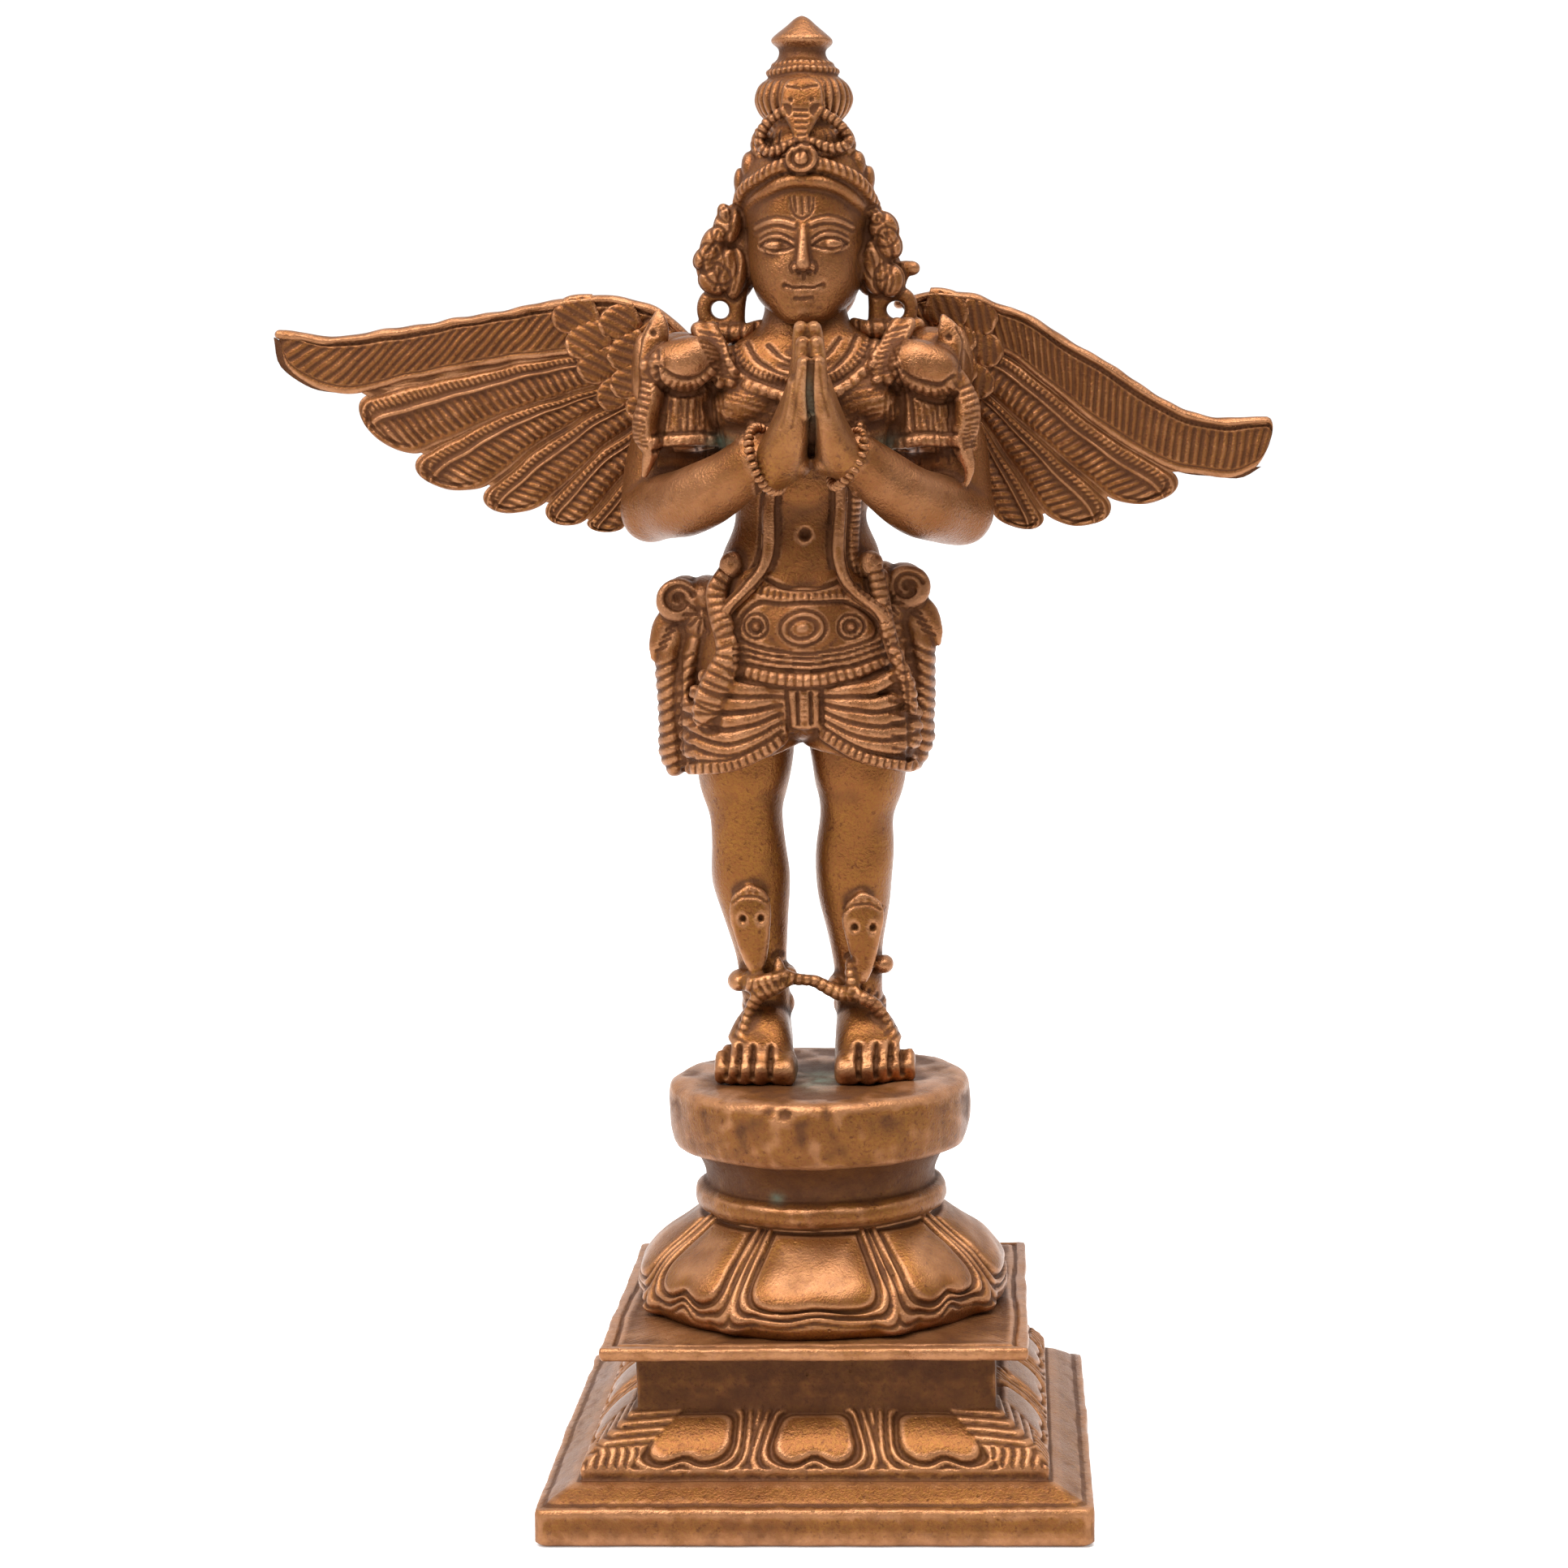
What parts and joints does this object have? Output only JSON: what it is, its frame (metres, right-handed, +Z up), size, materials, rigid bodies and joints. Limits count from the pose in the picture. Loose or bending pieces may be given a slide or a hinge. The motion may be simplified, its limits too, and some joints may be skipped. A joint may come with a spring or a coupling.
{
  "type": "garuda statue",
  "caption": "Cast copper standing winged deity with joined hands, tall crown, short draped skirt and snake ornaments, on a lotus drum and square stepped pedestal.",
  "frame": {"origin": "centre of the square slab's underside, on the surface it stands on", "axes": "+Z up through the crown, -Y the way the figure faces, +X to the viewer's right"},
  "size_m": [0.1332, 0.07, 0.1912],
  "materials": {
    "antique_copper": "antique reddish-brown copper, satin on the smooth areas, dark in the recesses, bright on worn edges"
  },
  "bodies": {
    "root": {"garuda_statue": "antique_copper"}
  },
  "joints": []
}
